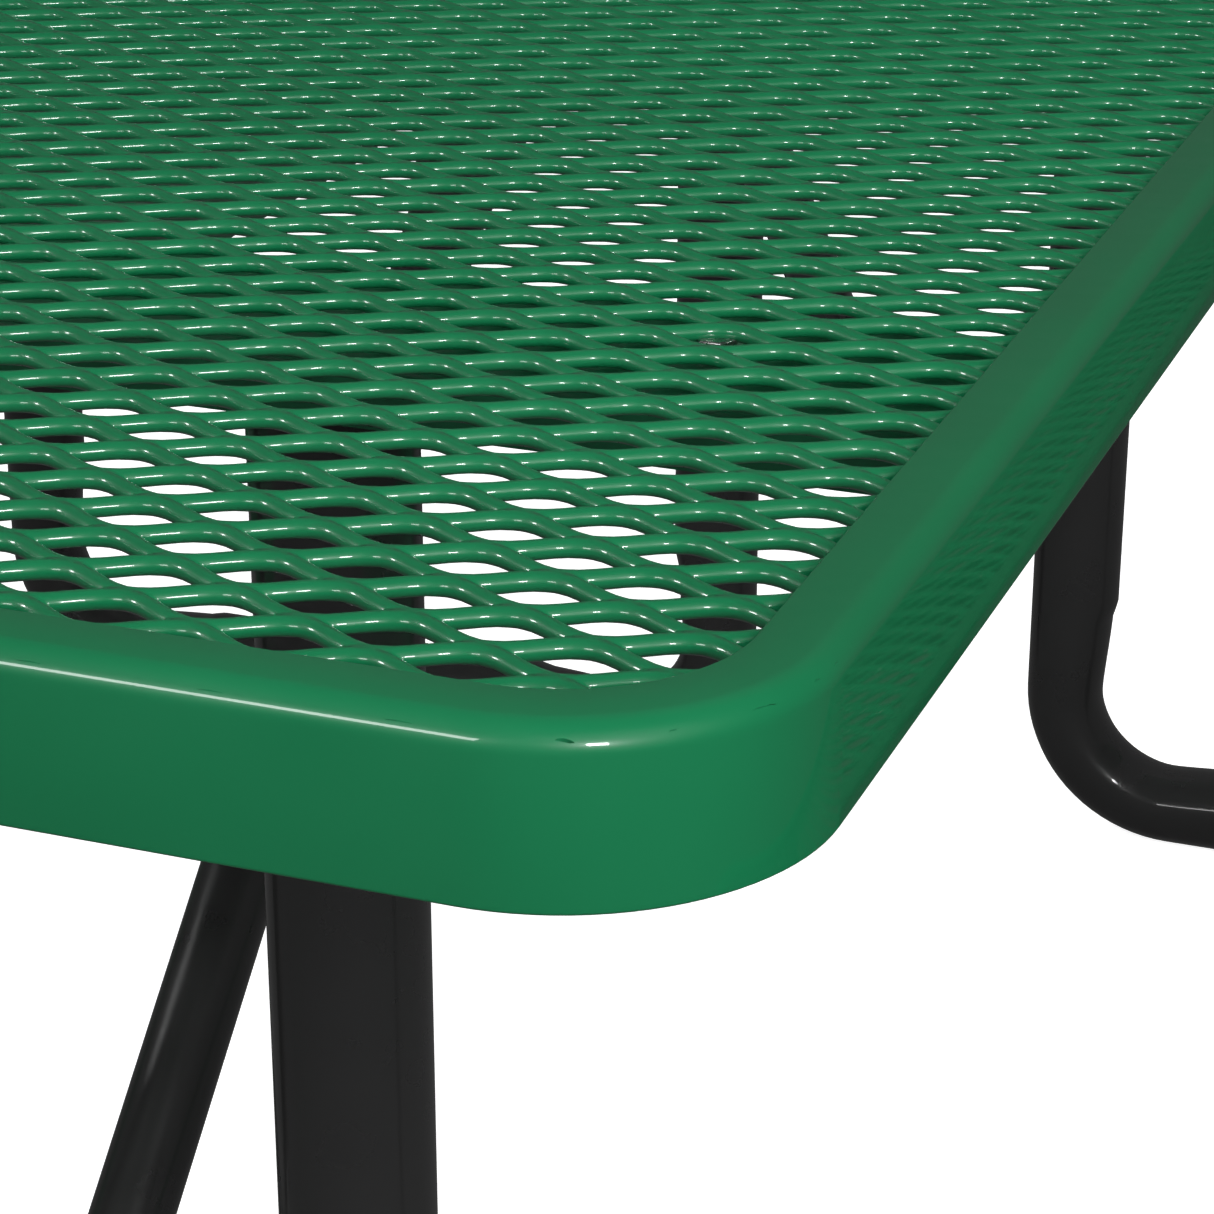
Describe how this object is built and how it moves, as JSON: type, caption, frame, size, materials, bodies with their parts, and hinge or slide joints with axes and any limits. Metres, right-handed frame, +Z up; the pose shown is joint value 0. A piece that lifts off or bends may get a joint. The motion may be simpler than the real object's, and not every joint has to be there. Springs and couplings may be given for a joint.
{
  "type": "picnic table",
  "caption": "Rectangular walk-through picnic table: expanded-metal top and two benches with rolled rims on a frame of bent round tubes with braces.",
  "frame": {"origin": "on the ground under the middle of the table", "axes": "+X across the table towards the right bench, +Y along the table, +Z up"},
  "size_m": [1.636, 1.829, 0.751],
  "materials": {
    "green_coating": "glossy",
    "black_powder_coat": "glossy",
    "zinc_fasteners": "satin"
  },
  "bodies": {
    "root": {"bench_bolts": "zinc_fasteners", "bench_left_crossbar_centre": "green_coating", "bench_left_crossbar_far": "green_coating", "bench_left_crossbar_near": "green_coating", "bench_left_mesh": "green_coating", "bench_left_rim": "green_coating", "bench_nuts": "zinc_fasteners", "bench_right_crossbar_centre": "green_coating", "bench_right_crossbar_far": "green_coating", "bench_right_crossbar_near": "green_coating", "bench_right_mesh": "green_coating", "bench_right_rim": "green_coating", "bench_washers": "zinc_fasteners", "brace_anchor_plate": "green_coating", "brace_bolts": "zinc_fasteners", "brace_far": "black_powder_coat", "brace_near": "black_powder_coat", "brace_nuts": "zinc_fasteners", "brace_washers": "zinc_fasteners", "leg_tube_far_left": "black_powder_coat", "leg_tube_far_right": "black_powder_coat", "leg_tube_near_left": "black_powder_coat", "leg_tube_near_right": "black_powder_coat", "post_cross_tube_far": "black_powder_coat", "post_cross_tube_near": "black_powder_coat", "post_top_plate_far": "black_powder_coat", "post_top_plate_near": "black_powder_coat", "seat_plate_far_left": "black_powder_coat", "seat_plate_far_right": "black_powder_coat", "seat_plate_near_left": "black_powder_coat", "seat_plate_near_right": "black_powder_coat", "tabletop_bolts": "zinc_fasteners", "tabletop_crossbar_centre": "green_coating", "tabletop_crossbar_far": "green_coating", "tabletop_crossbar_near": "green_coating", "tabletop_mesh": "green_coating", "tabletop_nuts": "zinc_fasteners", "tabletop_rim": "green_coating", "tabletop_washers": "zinc_fasteners"}
  },
  "joints": []
}
